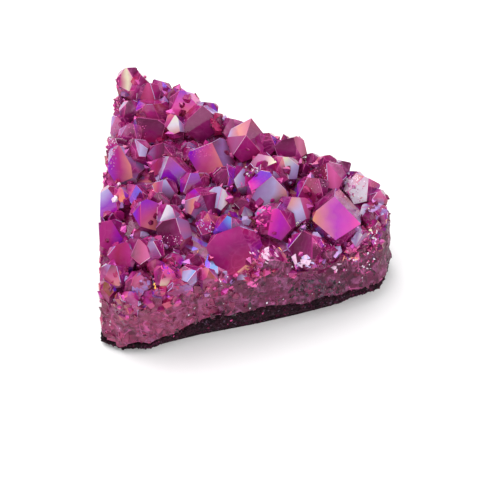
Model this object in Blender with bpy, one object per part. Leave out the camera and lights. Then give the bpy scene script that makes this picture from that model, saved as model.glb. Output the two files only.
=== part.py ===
"""Quartz cluster: crystals grown together in one crust, on a rind of dark host rock.

Metres, +Z up. The piece rests on the flat underside of its rock. Its origin is the bottom
centre of its bounding box, +X runs along the crystal face and +Y towards its back corner.
"""
import math
import random
from collections import namedtuple

import bmesh
import bpy
from mathutils import Matrix, Vector, noise

MM = 0.001

# Broken outline at the table and at the rim of the crystal face, in mm, corner by corner.
# Both run anticlockwise from the front left corner, and the wall is lofted between them.
FOOT = [(-30, -27), (-25.5, -29.5), (-20, -29.5), (-10, -26.5), (3, -23.5), (12, -21),
        (20, -18.5), (28, -14.5), (30.5, -9.5), (30.5, -5), (24, 1.5), (17, 6), (10, 10.5),
        (1.5, 13.5), (-5, 16.5), (-13, 22), (-22.5, 28.5), (-28, 28.5), (-29.5, 10), (-30.5, -10)]
RIM = [(-29.5, -25), (-25, -28), (-20, -28.5), (-10, -25.5), (2.5, -22), (11.5, -17),
       (19, -13.5), (26.5, -11), (30, -7.5), (30, -3), (24.5, 1.5), (17.5, 6.5), (10, 10.5),
       (1.5, 13.5), (-5.5, 17), (-13, 22.5), (-22, 29), (-28, 29), (-29.5, 10), (-30.5, -10)]
MIDDLE = (-4, -4)
STEP_ROUND = 2.4
# The walls between these corners of the rim, going round, are breaks through crystals.
BREAKS = ((17, 4), (7, 9))
# How far from a crystal's tip, in radii, the break can still cut it, and how far inside the
# outline, in mm.
BREAK_REACH = 2
BREAK_DEPTH = (0.4, 1.3)

# Height of the top of the rock along X, in mm, with a gentle swell along Y.
ROCK_TOP = [(-31, 1.7), (-20, 3.0), (-10, 6.3), (4, 7.8), (12, 5.7), (22, 5.5), (31, 3.6)]
ROCK_SWELL = 0.5
SWELL_LENGTH = 9.0
GAP = 0.3
SEAM_OPENING = 0.15
SEAM_RINGS = (0.35, 0.7, 0.93)

# Level between the crystals, in mm: highest on the line at GROUND_CREST_Y, and lower by the
# two falls at half the width and at half the depth of the piece.
GROUND_TOP = 18.4
GROUND_CREST_Y = -6.0
HALF_WIDTH = 30.0
HALF_DEPTH = 28.0
GROUND_FALL_X = 4.0
GROUND_FALL_Y = 1.7
GROUND_RINGS = (0.86, 0.5)
RIM_DROP = 1.0

# Relief of the broken walls, in mm: upright strips, broken across at each level.
WALL_LEVELS = (0, 0.25, 0.5, 0.75, 1)
STRIP_RELIEF = 1.0
LEDGE_RELIEF = 0.7
ROCK_RELIEF = 0.8
ROCK_LUMP_WIDTH = 2.5
ROCK_LUMP_HEIGHT = 2.0
RELIEF_SEED = 5

# The rock's foot is undercut: the size of its flat underside, then (share of its height,
# size) of each ring up its side, with the outline at 1.
ROCK_TABLE = 0.9
ROCK_SIDE = ((0.25, 0.95), (0.6, 1.0), (0.9, 0.99))

# Angle between a crystal's long axis and the normals of its end faces, in quartz.
END_FACE_ANGLE = math.radians(51.8)
# The three large end faces repeat at this turn, in degrees.
END_FACE_TURN = 120
# How far, in radii, the second and third large end faces can lie outside the first.
UNEVEN_END = 0.45
# Offset, in radii, at which the three minor end faces shrink to nothing.
MINOR_FACE_REACH = 0.34
# A crystal narrows downwards, to this share of its radius, this far below the ground.
ROOT_SHARE = 0.5
ROOT_DEPTH = 7.0
SAME_PLANE = 1e-8
SHORTEST_EDGE = 0.01

# Small crystals that fill the room between the placed ones.
FILL_SEED = 11
FILL_CELLS = 9
FILL_SPACING = 3.7
FILL_JITTER = 1.1
FILL_RADIUS = (1.9, 2.8)
FILL_RISE = (1.8, 3.4)
FILL_LEAN = 12
FILL_BIAS = 0.2
FILL_CLEARANCE = 0.78

# One crystal: where its tip is and its radius, in mm; its lean to the right and to the back
# and the direction that its first large end face looks in, in degrees (270 is to the front);
# and how far its minor end faces give way, from 0, six even faces, to 1, three faces.
Crystal = namedtuple("Crystal", "x y top radius right back facing bias")

BACK_EDGE = [
    Crystal(-25.5, 28.3, 21.8, 3.4, -5, 5, 280, 0.4),
    Crystal(-22.5, 27.5, 21.2, 3.4, 8, 5, 215, 0.3),
    Crystal(-20.5, 25.0, 21.0, 3.4, 0, 8, 265, 0.3),
    Crystal(-18.0, 26.0, 20.5, 2.8, 0, 0, 250, 0.2),
    Crystal(-15.5, 23.5, 21.0, 2.6, 0, 0, 270, 0.4),
    Crystal(-19.5, 19.0, 22.5, 4.8, 0, -10, 90, 0.7),
    Crystal(-12.5, 20.5, 23.0, 5.0, 0, 4, 262, 0.8),
    Crystal(-8.3, 18.3, 22.8, 3.6, 4, 0, 265, 0.3),
    Crystal(-9.5, 15.5, 24.0, 5.4, 0, -4, 272, 0.85),
    Crystal(-14.5, 15.0, 22.5, 3.0, 0, 0, 250, 0.3),
    Crystal(-3.0, 15.0, 21.5, 3.2, 0, 6, 255, 0.3),
    Crystal(0.0, 8.0, 25.0, 6.0, 0, -22, 197, 0.0),
    Crystal(4.5, 10.0, 23.0, 3.6, 5, 0, 280, 0.3),
    Crystal(9.5, 8.5, 23.5, 4.6, 5, 0, 232, 0.6),
    Crystal(16.5, 5.0, 22.0, 3.0, 0, 5, 280, 0.3),
    Crystal(19.5, 4.0, 21.5, 2.8, 5, 0, 260, 0.3),
    Crystal(22.5, 2.0, 20.5, 2.8, 5, 0, 270, 0.3),
    Crystal(27.5, -2.0, 19.5, 2.8, 10, 0, 260, 0.3),
]
LEFT_SIDE = [
    Crystal(-26.5, 16.5, 20.0, 3.6, -5, 0, 250, 0.4),
    Crystal(-24.5, 20.5, 20.5, 3.2, -5, 0, 280, 0.4),
    Crystal(-21.5, 15.5, 21.5, 5.0, -18, -5, 300, 0.7),
    Crystal(-24.0, 14.0, 21.0, 3.4, 0, 0, 255, 0.5),
    Crystal(-27.5, 11.0, 20.0, 3.4, -5, 0, 265, 0.3),
    Crystal(-25.5, 6.5, 22.0, 6.0, -8, 0, 240, 0.6),
    Crystal(-23.0, 8.5, 23.0, 3.4, -10, 0, 250, 0.1),
    Crystal(-28.5, -3.0, 21.0, 4.6, 0, 0, 255, 0.8),
    Crystal(-25.5, -2.5, 21.0, 2.8, 0, 0, 260, 0.3),
    Crystal(-22.0, -2.5, 21.5, 3.4, 0, 0, 260, 0.4),
    Crystal(-28.0, -11.5, 21.0, 4.6, 0, 0, 285, 0.6),
    Crystal(-24.5, -17.0, 21.5, 4.4, 0, 0, 240, 0.7),
    Crystal(-26.5, -21.5, 20.0, 3.8, 0, 0, 260, 0.4),
    Crystal(-28.0, -24.0, 18.5, 2.6, 0, 0, 285, 0.3),
]
LEFT_MIDDLE = [
    Crystal(-17.5, 7.5, 23.0, 3.8, 0, 0, 235, 0.5),
    Crystal(-17.5, 3.5, 23.0, 2.8, 0, 0, 235, 0.3),
    Crystal(-14.5, 2.5, 24.0, 4.8, 0, 0, 268, 0.7),
    Crystal(-7.0, 6.0, 24.5, 6.4, 0, 0, 240, 0.95),
    Crystal(-10.5, -1.0, 23.5, 4.2, 0, 0, 270, 0.5),
    Crystal(-16.5, -2.5, 23.5, 3.2, 0, 0, 290, 0.3),
    Crystal(-18.0, -5.5, 23.0, 3.6, 0, 0, 265, 0.5),
    Crystal(-19.5, -8.0, 23.5, 4.8, 0, 0, 300, 0.85),
    Crystal(-15.5, -9.0, 23.5, 3.4, 0, 0, 265, 0.4),
    Crystal(-14.5, -12.5, 23.5, 4.8, 0, 0, 230, 0.85),
    Crystal(-19.0, -17.0, 22.0, 3.4, 0, 0, 280, 0.4),
    Crystal(-21.0, -17.0, 22.5, 3.6, 0, 0, 265, 0.5),
    Crystal(-21.5, -23.5, 20.5, 3.8, 0, 0, 275, 0.4),
    Crystal(-23.0, -27.0, 19.0, 2.2, 0, 0, 270, 0.3),
    Crystal(-17.0, -27.0, 19.5, 2.2, 0, 0, 270, 0.6),
    Crystal(-15.5, -23.0, 22.0, 4.0, 0, 0, 275, 0.4),
    Crystal(-13.5, -25.0, 21.0, 3.6, 0, 0, 285, 0.5),
    Crystal(-9.8, -24.0, 22.0, 2.8, 35, -15, 290, 0.1),
]
CENTRE = [
    Crystal(-4.0, 0.5, 24.0, 3.6, 0, 0, 225, 0.6),
    Crystal(-0.5, 0.0, 24.0, 3.2, 0, 0, 240, 0.2),
    Crystal(3.5, 2.0, 24.0, 3.2, 0, 0, 290, 0.3),
    Crystal(5.0, -0.5, 24.0, 3.8, 5, 0, 250, 0.3),
    Crystal(-9.0, -7.5, 25.0, 5.0, 0, -15, 265, 0.1),
    Crystal(-5.5, -5.0, 24.5, 4.0, 10, 0, 230, 0.4),
    Crystal(5.5, -4.0, 26.0, 5.6, 15, -5, 280, 0.9),
    Crystal(6.0, -11.5, 25.5, 5.6, 0, -10, 285, 0.3),
    Crystal(-2.0, -17.0, 25.5, 8.0, 0, 0, 238, 0.95),
    Crystal(-3.5, -13.0, 25.0, 3.6, 0, 0, 240, 0.4),
    Crystal(-7.5, -11.5, 24.0, 3.4, 0, 0, 240, 0.3),
    Crystal(4.5, -19.5, 22.5, 5.0, 0, 0, 250, 0.3),
]
RIGHT_SIDE = [
    Crystal(6.0, 2.5, 24.0, 4.4, 30, -10, 180, 0.3),
    Crystal(7.5, 2.5, 25.0, 4.8, 0, 0, 262, 0.0),
    Crystal(16.5, 1.5, 24.0, 5.0, -5, 0, 300, 0.05),
    Crystal(13.5, -2.5, 23.5, 4.4, 0, 0, 262, 0.7),
    Crystal(10.0, -8.0, 24.5, 4.4, 0, 0, 265, 0.5),
    Crystal(18.5, -9.0, 26.0, 7.2, 0, 0, 265, 0.95),
    Crystal(12.0, -15.5, 22.5, 4.8, 0, 0, 240, 0.6),
    Crystal(24.5, 0.0, 21.0, 4.8, 15, 0, 250, 0.3),
    Crystal(25.5, -6.5, 20.0, 2.8, 5, 0, 250, 0.3),
    Crystal(28.0, -5.5, 19.0, 2.8, 10, 0, 250, 0.3),
    Crystal(23.0, -12.0, 19.5, 2.8, 0, 0, 250, 0.3),
]
# These lean out over the wall.
FRONT_RIGHT = [
    Crystal(11.4, -18.0, 17.0, 3.2, 0, -40, 265, 0.3),
    Crystal(10.8, -19.2, 14.0, 2.6, -10, -50, 250, 0.3),
    Crystal(15.0, -17.5, 14.5, 2.6, 5, -50, 265, 0.4),
    Crystal(16.5, -16.0, 17.5, 3.0, 5, -35, 250, 0.3),
    Crystal(18.8, -16.3, 14.7, 2.4, 10, -50, 270, 0.3),
    Crystal(21.4, -14.4, 16.0, 2.8, 10, -35, 240, 0.4),
    Crystal(23.7, -13.2, 15.5, 2.4, 10, -35, 260, 0.3),
]
PLACED = BACK_EDGE + LEFT_SIDE + LEFT_MIDDLE + CENTRE + RIGHT_SIDE + FRONT_RIGHT

QUARTZ_COLOUR = (0.38, 0.012, 0.15, 1)
ROCK_COLOUR = (0.045, 0.03, 0.036, 1)


def clear_scene():
    """Start from an empty scene."""
    for ob in list(bpy.data.objects):
        bpy.data.objects.remove(ob, do_unlink=True)


def collection(name):
    """A new collection in the scene."""
    made = bpy.data.collections.new(name)
    bpy.context.scene.collection.children.link(made)
    return made


def material(name, colour, roughness, transmission, ior):
    """A Principled material."""
    made = bpy.data.materials.new(name)
    made.use_nodes = True
    shader = made.node_tree.nodes["Principled BSDF"]
    shader.inputs["Base Color"].default_value = colour
    shader.inputs["Metallic"].default_value = 0
    shader.inputs["Roughness"].default_value = roughness
    shader.inputs["Transmission Weight"].default_value = transmission
    shader.inputs["IOR"].default_value = ior
    return made


def new_object(name, bm, folder):
    """An object in a collection, from a bmesh given in mm."""
    bmesh.ops.recalc_face_normals(bm, faces=bm.faces)
    bmesh.ops.scale(bm, vec=(MM, MM, MM), verts=bm.verts)
    mesh = bpy.data.meshes.new(name)
    bm.to_mesh(mesh)
    bm.free()
    ob = bpy.data.objects.new(name, mesh)
    folder.objects.link(ob)
    return ob


def rock_top(x, y):
    """Height of the top of the rock, in mm."""
    swell = ROCK_SWELL * math.sin(y / SWELL_LENGTH)
    for (x0, z0), (x1, z1) in zip(ROCK_TOP, ROCK_TOP[1:]):
        if x <= x1:
            return z0 + (z1 - z0) * (x - x0) / (x1 - x0) + swell
    return ROCK_TOP[-1][1] + swell


def ground(x, y):
    """Level between the crystals, in mm."""
    across = (x / HALF_WIDTH) ** 2
    along = ((y - GROUND_CREST_Y) / HALF_DEPTH) ** 2
    return GROUND_TOP - GROUND_FALL_X * across - GROUND_FALL_Y * along


def outline(share):
    """Points round the wall in even steps, from the foot at share 0 to the rim at share 1."""
    points = []
    for i in range(len(FOOT)):
        j = (i + 1) % len(FOOT)
        steps = round(math.dist(FOOT[i], FOOT[j]) / STEP_ROUND)
        start = Vector(FOOT[i]).lerp(Vector(RIM[i]), share)
        end = Vector(FOOT[j]).lerp(Vector(RIM[j]), share)
        points += [start.lerp(end, k / steps) for k in range(steps)]
    return points


def drawn_in(points, scale):
    """The same points, drawn in towards the middle."""
    middle = Vector(MIDDLE)
    return [middle + (p - middle) * scale for p in points]


def inward(p):
    """The direction from a point of the outline to the middle."""
    return (Vector(MIDDLE) - p).normalized()


def seam_ring(scale, lift):
    """A ring on the seam between rock and crust, raised a little."""
    return [Vector((p.x, p.y, rock_top(p.x, p.y) + lift)) for p in drawn_in(outline(0), scale)]


def lofted(rings):
    """A closed body through rings of the same number of points, each end filled."""
    bm = bmesh.new()
    made = [[bm.verts.new(p) for p in ring] for ring in rings]
    count = len(made[0])
    for low, high in zip(made, made[1:]):
        for i in range(count):
            j = (i + 1) % count
            bm.faces.new((low[i], low[j], high[j], high[i]))
    bm.faces.new(reversed(made[0]))
    bm.faces.new(made[-1])
    bmesh.ops.triangulate(bm, faces=bm.faces)
    return bm


def wall_ring(share, strips, pick):
    """One level of the broken quartz wall: its upright strips, each with a ledge of its own."""
    ring = []
    for p, strip in zip(outline(share), strips):
        low = rock_top(p.x, p.y) + GAP + SEAM_OPENING
        high = ground(p.x, p.y) - RIM_DROP
        moved = p + inward(p) * (strip + pick.uniform(0, LEDGE_RELIEF))
        ring.append(Vector((moved.x, moved.y, low + (high - low) * share)))
    return ring


def massive_quartz():
    """The body of the crust that the crystals grew from."""
    pick = random.Random(RELIEF_SEED)
    strips = [pick.uniform(0, STRIP_RELIEF) for _ in outline(0)]
    under = [seam_ring(scale, GAP) for scale in SEAM_RINGS]
    wall = [wall_ring(share, strips, pick) for share in WALL_LEVELS]
    over = [[Vector((p.x, p.y, ground(p.x, p.y))) for p in drawn_in(outline(1), scale)]
            for scale in GROUND_RINGS]
    return lofted(under + wall + over)


def rock_ring(share, scale):
    """One level of the rock's wall: share goes from 0, the table, to 1, the top of the rock."""
    ring = []
    for p in drawn_in(outline(0), scale):
        height = share * rock_top(p.x, p.y)
        lump = noise.noise(Vector((p.x / ROCK_LUMP_WIDTH, p.y / ROCK_LUMP_WIDTH,
                                   height / ROCK_LUMP_HEIGHT)))
        moved = p + inward(p) * ROCK_RELIEF * (1 - lump)
        ring.append(Vector((moved.x, moved.y, height)))
    return ring


def host_rock():
    """The rind of rock: flat below, undercut at its foot, lumpy round its side."""
    table = [Vector((p.x, p.y, 0)) for p in drawn_in(outline(0), ROCK_TABLE)]
    side = [rock_ring(share, scale) for share, scale in ROCK_SIDE]
    top = [seam_ring(scale, 0) for scale in reversed(SEAM_RINGS)]
    return lofted([table] + side + top)


def cut(bm, point, normal):
    """Slice away what lies beyond a plane and close the slice with one flat face."""
    geometry = bm.verts[:] + bm.edges[:] + bm.faces[:]
    bmesh.ops.bisect_plane(bm, geom=geometry, dist=SAME_PLANE, plane_co=point,
                           plane_no=normal, clear_outer=True)
    rim = [e for e in bm.edges if e.is_boundary]
    if rim:
        bmesh.ops.holes_fill(bm, edges=rim, sides=0)


def direction(azimuth, from_up):
    """A direction at an angle from +Z, turned to an azimuth."""
    flat = math.sin(from_up)
    return Vector((flat * math.cos(azimuth), flat * math.sin(azimuth), math.cos(from_up)))


def pointed_prism(c):
    """A crystal standing upright, its highest point at the height of the origin."""
    bm = bmesh.new()
    pick = random.Random(c.x * c.y)
    turn = math.radians(c.facing)
    length = c.top - ground(c.x, c.y) + ROOT_DEPTH
    above = c.radius * UNEVEN_END * 2
    place = Matrix.Translation((0, 0, (above - length) / 2))
    place = place @ Matrix.Rotation(turn + math.pi / 6, 4, "Z")
    bmesh.ops.create_cone(bm, cap_ends=True, segments=6, radius1=c.radius * ROOT_SHARE,
                          radius2=c.radius, depth=length + above, matrix=place)
    for k, share in enumerate((0, pick.uniform(0, UNEVEN_END), pick.uniform(0, UNEVEN_END))):
        azimuth = turn + math.radians(k * END_FACE_TURN)
        major = direction(azimuth, END_FACE_ANGLE)
        minor = direction(azimuth + math.pi, END_FACE_ANGLE)
        cut(bm, major * c.radius * share, major)
        cut(bm, minor * c.radius * MINOR_FACE_REACH * c.bias, minor)
    highest = max(v.co.z for v in bm.verts)
    bmesh.ops.translate(bm, vec=(0, 0, -highest), verts=bm.verts)
    return bm


def broken_edges():
    """The edges of the rim where a break goes through crystals."""
    count = len(RIM)
    corners = [first + k for first, last in BREAKS for k in range((last - first) % count)]
    return [(Vector(RIM[k % count]), Vector(RIM[(k + 1) % count])) for k in corners]


def crystal(c):
    """A crystal in its place, cut off where the break beside it goes through."""
    bm = pointed_prism(c)
    lean = Matrix.Rotation(math.radians(c.right), 4, "Y")
    lean = lean @ Matrix.Rotation(-math.radians(c.back), 4, "X")
    bmesh.ops.transform(bm, matrix=Matrix.Translation((c.x, c.y, c.top)) @ lean, verts=bm.verts)
    tip = Vector((c.x, c.y))
    depth = random.Random(c.x - c.y).uniform(*BREAK_DEPTH)
    for start, end in broken_edges():
        along = (end - start).normalized()
        outward = Vector((along.y, -along.x))
        share = min(max((tip - start).dot(along), 0), (end - start).length)
        if (start + along * share - tip).length < BREAK_REACH * c.radius:
            at = start - outward * depth
            cut(bm, (at.x, at.y, 0), (outward.x, outward.y, 0))
    bmesh.ops.remove_doubles(bm, verts=bm.verts, dist=SHORTEST_EDGE)
    return bm


def inside_rim(x, y):
    """Whether a point lies within the rim of the crystal face."""
    inside = False
    for (x0, y0), (x1, y1) in zip(RIM, RIM[1:] + RIM[:1]):
        if (y0 > y) != (y1 > y) and x < x0 + (x1 - x0) * (y - y0) / (y1 - y0):
            inside = not inside
    return inside


def fill_crystals():
    """Small crystals on a loose grid, where no placed crystal stands."""
    pick = random.Random(FILL_SEED)
    made = []
    cells = range(-FILL_CELLS, FILL_CELLS + 1)
    for column in cells:
        for row in cells:
            x = column * FILL_SPACING + pick.uniform(-FILL_JITTER, FILL_JITTER)
            y = row * FILL_SPACING + pick.uniform(-FILL_JITTER, FILL_JITTER)
            radius = pick.uniform(*FILL_RADIUS)
            rise = pick.uniform(*FILL_RISE)
            right = pick.uniform(-FILL_LEAN, FILL_LEAN)
            back = pick.uniform(-FILL_LEAN, FILL_LEAN)
            turn = pick.uniform(0, END_FACE_TURN)
            covered = any(math.dist((x, y), (c.x, c.y)) < c.radius * FILL_CLEARANCE
                          for c in PLACED)
            if inside_rim(x, y) and not covered:
                top = ground(x, y) + rise
                made.append(Crystal(x, y, top, radius, right, back, turn, FILL_BIAS))
    return made


def islands(bm):
    """The sets of joined vertices of a mesh."""
    found = []
    unseen = set(bm.verts)
    while unseen:
        stack = [unseen.pop()]
        island = set(stack)
        while stack:
            reached = {v for edge in stack.pop().link_edges for v in edge.verts} & unseen
            unseen -= reached
            island |= reached
            stack.extend(reached)
        found.append(island)
    return found


def joined_mesh(ob):
    """The mesh of an object after its modifiers, without any closed pocket inside it."""
    evaluated = ob.evaluated_get(bpy.context.evaluated_depsgraph_get())
    bm = bmesh.new()
    bm.from_mesh(evaluated.to_mesh())
    body = max(islands(bm), key=len)
    bmesh.ops.delete(bm, geom=[v for v in bm.verts if v not in body], context="VERTS")
    mesh = bpy.data.meshes.new(ob.name)
    bm.to_mesh(mesh)
    bm.free()
    return mesh


def quartz_crust(parts, cutters):
    """Massive quartz and all its crystals, joined in one solid."""
    crust = new_object("quartz_crust", massive_quartz(), parts)
    for number, c in enumerate(PLACED + fill_crystals()):
        point = new_object(f"crystal_{number:03d}", crystal(c), cutters)
        point.hide_render = True
        point.display_type = "WIRE"
    union = crust.modifiers.new("grown together", "BOOLEAN")
    union.operation = "UNION"
    union.operand_type = "COLLECTION"
    union.collection = cutters
    union.solver = "EXACT"
    crust.data = joined_mesh(crust)
    crust.modifiers.clear()
    look = material("magenta_quartz", QUARTZ_COLOUR, roughness=0.08, transmission=0.35, ior=1.54)
    crust.data.materials.append(look)
    return crust


def matrix_rock(parts):
    """The host rock under the crust."""
    rock = new_object("matrix_rock", host_rock(), parts)
    look = material("host_rock", ROCK_COLOUR, roughness=0.85, transmission=0, ior=1.5)
    rock.data.materials.append(look)
    return rock


def centre_on_box(obs):
    """Move the whole piece so that the origin is the bottom centre of its box."""
    corners = [v.co for ob in obs for v in ob.data.vertices]
    low = Vector([min(p[i] for p in corners) for i in range(3)])
    high = Vector([max(p[i] for p in corners) for i in range(3)])
    middle = (low + high) / 2
    for ob in obs:
        ob.location = (-middle.x, -middle.y, -low.z)


clear_scene()
parts_folder = collection("quartz_cluster")
cutters_folder = collection("crystals_before_joining")
centre_on_box([quartz_crust(parts_folder, cutters_folder), matrix_rock(parts_folder)])
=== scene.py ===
"""Quartz cluster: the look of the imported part, in metres, in the part's own frame."""
import math
from collections import namedtuple

import bmesh
import bpy
import numpy as np
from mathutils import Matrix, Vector, noise
from mathutils.bvhtree import BVHTree


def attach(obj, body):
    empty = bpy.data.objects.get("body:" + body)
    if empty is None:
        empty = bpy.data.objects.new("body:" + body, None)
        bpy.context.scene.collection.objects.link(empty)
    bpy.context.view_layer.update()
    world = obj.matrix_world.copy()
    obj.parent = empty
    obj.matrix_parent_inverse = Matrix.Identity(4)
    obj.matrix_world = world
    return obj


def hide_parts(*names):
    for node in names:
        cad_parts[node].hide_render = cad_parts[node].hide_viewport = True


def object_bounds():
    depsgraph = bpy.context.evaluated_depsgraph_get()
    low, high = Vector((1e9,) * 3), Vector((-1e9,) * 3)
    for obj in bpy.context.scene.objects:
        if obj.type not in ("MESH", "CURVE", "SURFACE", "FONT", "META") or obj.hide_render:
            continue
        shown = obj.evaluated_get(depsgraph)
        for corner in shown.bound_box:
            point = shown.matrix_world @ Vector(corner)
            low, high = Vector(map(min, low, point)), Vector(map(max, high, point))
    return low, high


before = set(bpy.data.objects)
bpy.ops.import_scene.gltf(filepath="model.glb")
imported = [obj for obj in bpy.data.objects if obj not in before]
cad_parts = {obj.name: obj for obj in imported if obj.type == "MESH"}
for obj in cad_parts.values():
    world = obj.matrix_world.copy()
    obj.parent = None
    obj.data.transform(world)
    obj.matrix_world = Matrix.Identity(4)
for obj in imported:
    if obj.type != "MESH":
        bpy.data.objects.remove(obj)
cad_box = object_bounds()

MM = 0.001
PICTURE = 500

# The camera: how far it looks down, how far away it is, the point it looks at, and its lens.
VIEW_ELEVATION = math.radians(54)
VIEW_DISTANCE = 0.55
VIEW_AIM = Vector((0.6, -12.7, 12.3)) * MM
LENS = 194
SENSOR = 36
# The directions from the piece to the camera, and to the right and the top of the picture.
AWAY = Vector((0, -math.cos(VIEW_ELEVATION), math.sin(VIEW_ELEVATION)))
RIGHT = Vector((1, 0, 0))
UP = AWAY.cross(RIGHT)

# Colours, as they look in even white light.
PALETTE = {
    "magenta": (180, 34, 130),
    "deep": (142, 22, 102),
    "burgundy": (98, 14, 66),
    "crimson": (162, 24, 86),
    "rose": (205, 72, 138),
    "mauve": (192, 104, 162),
    "pink": (228, 96, 172),
    "hot": (240, 55, 170),
    "violet": (150, 20, 200),
    "purple": (188, 18, 186),
    "blue": (105, 60, 205),
    "cyan": (110, 165, 240),
    "blush": (230, 192, 220),
    "lavender": (188, 176, 226),
    "haze": (150, 110, 175),
    "white": (240, 232, 246),
    "cream": (242, 238, 200),
    "peach": (228, 140, 130),
    "orange": (240, 155, 95),
    "wall": (122, 32, 74),
    "wall_dark": (90, 14, 50),
    "wall_light": (156, 60, 102),
    "plum": (104, 20, 66),
    "plum_dark": (62, 12, 42),
    "plum_brown": (110, 36, 78),
    # The rock: its own dark colour, deepened with painted shade for its place under the crust.
    "rock": (42, 8, 26),
    "rock_dark": (20, 2, 12),
    "rock_grey": (74, 54, 72),
}

# How often a crystal face runs through which three colours, from one end to the other.
FAMILIES = [
    (0.23, ("magenta", "deep", "crimson")),
    (0.18, ("burgundy", "deep", "burgundy")),
    (0.13, ("crimson", "magenta", "burgundy")),
    (0.10, ("violet", "magenta", "crimson")),
    (0.08, ("haze", "deep", "magenta")),
    (0.08, ("lavender", "haze", "magenta")),
    (0.06, ("peach", "rose", "magenta")),
    (0.06, ("pink", "magenta", "deep")),
    (0.04, ("blue", "violet", "magenta")),
    (0.04, ("white", "lavender", "haze")),
]
# The same for the broken walls: the pink ones, and the dark one at the front right.
PINK_WALL = [
    (0.5, ("wall", "wall_light", "wall")),
    (0.3, ("wall_dark", "wall", "crimson")),
    (0.2, ("wall_dark", "wall_dark", "wall")),
]
DARK_WALL = [
    (0.6, ("plum", "plum_dark", "plum")),
    (0.4, ("plum_brown", "plum", "wall_dark")),
]
# Where the dark wall begins along X, and the width over which its limit is ragged.
DARK_WALL_FROM_X = -5 * MM
DARK_WALL_BLEND = 10 * MM

# Colours of small crystals, chips and grit: zones of them follow each other in this order.
GRAIN_TINTS = ("burgundy", "deep", "magenta", "crimson", "deep", "burgundy", "plum", "magenta",
               "rose", "haze", "deep", "burgundy")
CHIP_TINTS = ("wall_dark", "crimson", "wall", "wall_light", "wall", "wall_dark", "plum_brown",
              "wall", "wall_light", "wall")
DARK_CHIP_TINTS = ("plum_dark", "plum", "wall_dark", "plum", "plum_brown", "plum_dark", "plum")
ROCK_TINTS = ("rock_dark", "rock", "rock", "rock_dark", "plum_dark", "rock", "rock_dark")
# Those at the foot of the walls, and how far up they reach in the pink part and in the dark.
SEAM_TINTS = ("plum_dark", "rock", "plum", "plum_dark", "wall_dark", "rock_dark")
PINK_SEAM = 2 * MM
DARK_SEAM = 10 * MM
# How often a body has any of its colours and not its zone's, how long a zone is, how much a
# body sways from it, and how far the zones spread over the colours.
STRAY_SHARE = 0.3
ZONE_LENGTH = 4 * MM
ZONE_SWAY = 0.06
ZONE_SPREAD = 0.7
# How often a body is a sparkle of which colour: a painted glint on small crystals and chips, a
# grain of another colour on the rock. Small crystals have painted glints only where more than
# this share of the view is blocked, and chips only under this radius.
GRAIN_PAINTED_GLINTS = {"lavender": 0.06, "haze": 0.07, "violet": 0.02, "blue": 0.02, "white": 0.01}
GLINT_COVER = 0.6
CHIP_PAINTED_GLINTS = {"rose": 0.05, "pink": 0.04, "white": 0.04}
SPARKLE_RADIUS = 0.5 * MM
ROCK_SPARKLES = {"rock_grey": 0.06, "wall_dark": 0.02, "rose": 0.004}

# Facets that meet at less than this angle are one, and so are corners this close together.
FACET_ANGLE = 0.01
WELD = 1e-6
SEED = 8

# A wall is steep: the Z of its normal is less than this near the level between the crystals,
# and less than the second value at more than the depth below it.
WALL_STEEPNESS = 0.45
DEEP_STEEPNESS = 0.85
DEEP = 3 * MM
# How far off the surface the ray starts that looks for something in front of a wall.
RAY_START = 0.05 * MM

# How a place's shelter is felt: the number of rays, how steeply they rise, how far off the
# surface they start, and how far they reach.
SHELTER_RAYS = 8
SHELTER_RISE = 0.55
SHELTER_START = 0.1 * MM
SHELTER_REACH = 3.5 * MM

# Shapes of small bodies, in their own radius and height. A small crystal: its sides, how
# uneven they are, how narrow its foot is, how high its shoulders are, and how far its tip
# drifts. A chip: its corners, how far out they lie, and how flat it is.
SHAPES = 24
SIDES = 6
UNEVEN_SIDES = (0.75, 1.15)
FOOT_SHARE = 0.8
SHOULDERS = (-0.1, 0.35)
TIP_DRIFT = 0.3
CHIP_CORNERS = 9
CHIP_REACH = (0.75, 1.0)
CHIP_FLATNESS = 0.6
# An axis with a greater Z than this counts as upright.
UPRIGHT = 0.9
# How much the axes of small bodies sway.
SWAY = 0.3
CHIP_SWAY = 0.25

# Small crystals: how many places are tried, their radius in mm, their height in radii, how
# deep they are sunk, how much they turn upwards, the least Z of the surface's normal, the
# least shelter, how readily they grow in a valley or at the top of a broken wall, and how
# far down the wall they reach.
SMALL_TRIES = 16000
SMALL_RADIUS = (0.45, 1.25)
SMALL_HEIGHT = (1.0, 1.5)
SMALL_SUNK = 0.3
SMALL_UPWARD = 0.7
SMALL_LEAST_Z = -0.2
LEAST_COVER = 0.3
VALLEY_CHANCE = 0.22
RIM_CHANCE = 0.25
RIM_DEPTH = 5 * MM
# Chips: how many places are tried, the radius in mm of the smallest and of the largest, how
# much more often small ones come, how high they are, and how deep they are sunk.
CHIP_TRIES = 22000
PINK_CHIP = (0.35, 2.6)
DARK_CHIP = (0.3, 1.8)
CHIP_SKEW = 3
CHIP_HEIGHT = (0.25, 0.7)
CHIP_SUNK = 0.2
# Grit on the rock: how many places are tried, the radius in mm, how steep the rock has to be
# there, and from which height on.
GRIT_TRIES = 40000
GRIT_RADIUS = (0.2, 0.6)
GRIT_STEEPNESS = 0.9
GRIT_FROM_Z = 0.5 * MM

# Ridges with a painted highlight: a light-coloured sliver that also blunts the ridge. The least
# length, angle, face and Z of a face's normal that show one, how many do, and the half width;
# then, in half widths, how far a sliver stands out and how deep it goes.
RIDGE_LENGTH = 1.2 * MM
RIDGE_ANGLE = math.radians(20)
RIDGE_FACE = 1.2 * MM * MM
RIDGE_LEAST_Z = -0.1
RIDGE_SHARE = 0.6
RIDGE_WIDTH = 0.06 * MM
RIDGE_LIFT = 0.35
RIDGE_DEPTH = 0.6
# The colours of the painted ridge highlights.
RIDGE_HIGHLIGHT_TINTS = ("pink", "rose", "mauve", "lavender", "rose", "magenta", "blush")
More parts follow.
